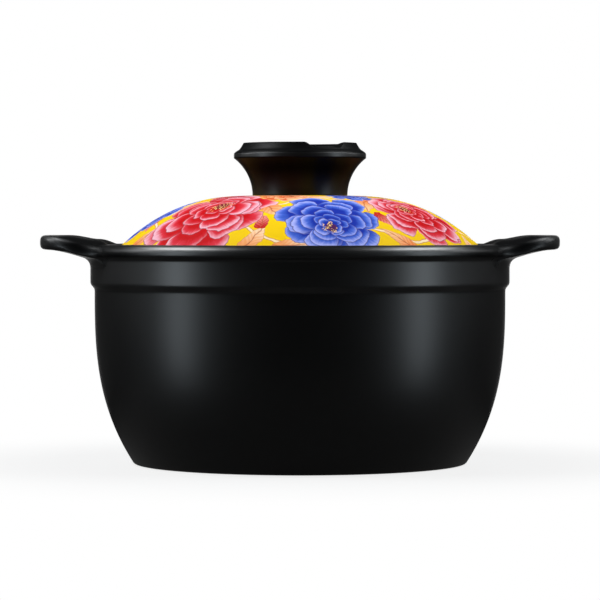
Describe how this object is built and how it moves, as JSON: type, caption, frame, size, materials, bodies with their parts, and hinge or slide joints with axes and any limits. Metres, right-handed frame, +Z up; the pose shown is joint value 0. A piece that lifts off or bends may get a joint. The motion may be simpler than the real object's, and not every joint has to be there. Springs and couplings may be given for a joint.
{
  "type": "ceramic casserole",
  "caption": "Lidded ceramic casserole with a rounded belly, stepped collar, ear handles, sunk lid ledge and a domed lift-off lid with a flared, notched knob.",
  "frame": {"origin": "centre of the standing face, on the surface that the pot stands on", "axes": "+Z up along the pot's axis, X along the line through both handles, -Y towards the front"},
  "size_m": [0.2948, 0.244, 0.182],
  "materials": {
    "black_glaze": "satin black glaze over fired clay",
    "yellow_glaze": "glossy yellow glaze with a fired-on floral print"
  },
  "bodies": {
    "pot": {"pot_body": "black_glaze", "left_handle": "black_glaze", "right_handle": "black_glaze"},
    "lid": {"lid_dome": "yellow_glaze", "lid_knob": "black_glaze"}
  },
  "joints": [
    {"name": "lid_lift", "type": "slide", "parent": "pot", "child": "lid", "axis": [0, 0, 1], "range_m": [0, 0.15]}
  ]
}
